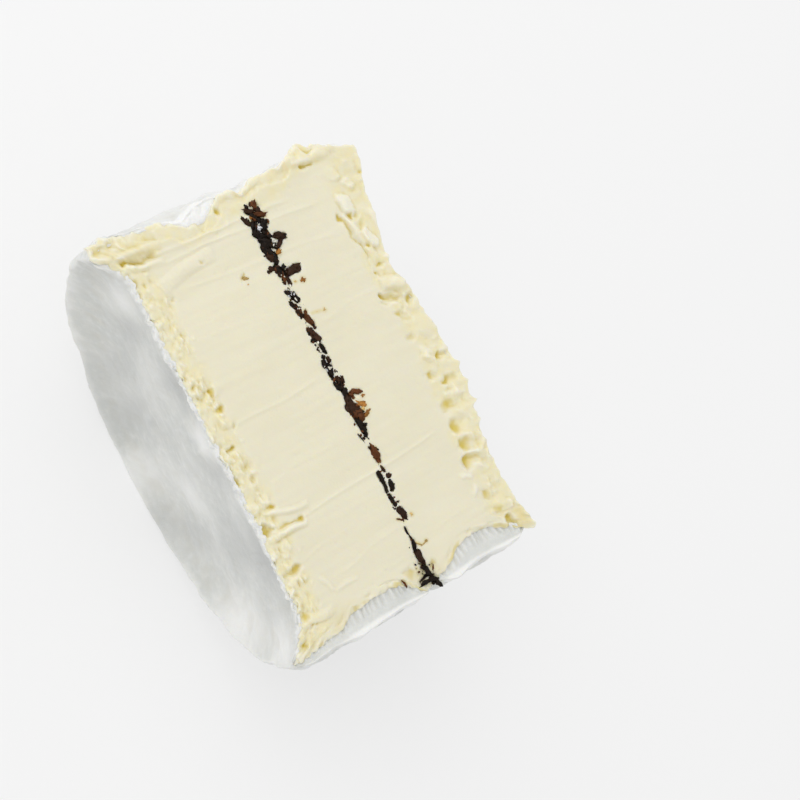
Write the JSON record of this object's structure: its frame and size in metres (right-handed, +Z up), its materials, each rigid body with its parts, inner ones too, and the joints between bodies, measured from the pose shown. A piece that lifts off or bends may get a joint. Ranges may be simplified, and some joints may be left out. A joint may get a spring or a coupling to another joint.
{
  "type": "half truffle triple-cream cheese",
  "caption": "Half of a small soft cheese wheel with a white rind, lying cut side up, with a dark layer of chopped truffle running through its pale yellow paste.",
  "frame": {"origin": "the point the half wheel rests on, straight below the wheel's axis and halfway along it", "axes": "+X along the truffle line of the cut face, +Y along the wheel's axis, +Z up, out of the cut face"},
  "size_m": [0.0847, 0.054, 0.0555],
  "materials": {
    "paste": "pale yellow cream paste, soft and slightly moist",
    "rind": "white bloomy rind, dry and velvety",
    "truffle": "black and brown chopped truffle, slightly moist"
  },
  "bodies": {
    "root": {"cheese": "paste", "truffle_layer": "truffle"}
  },
  "joints": []
}
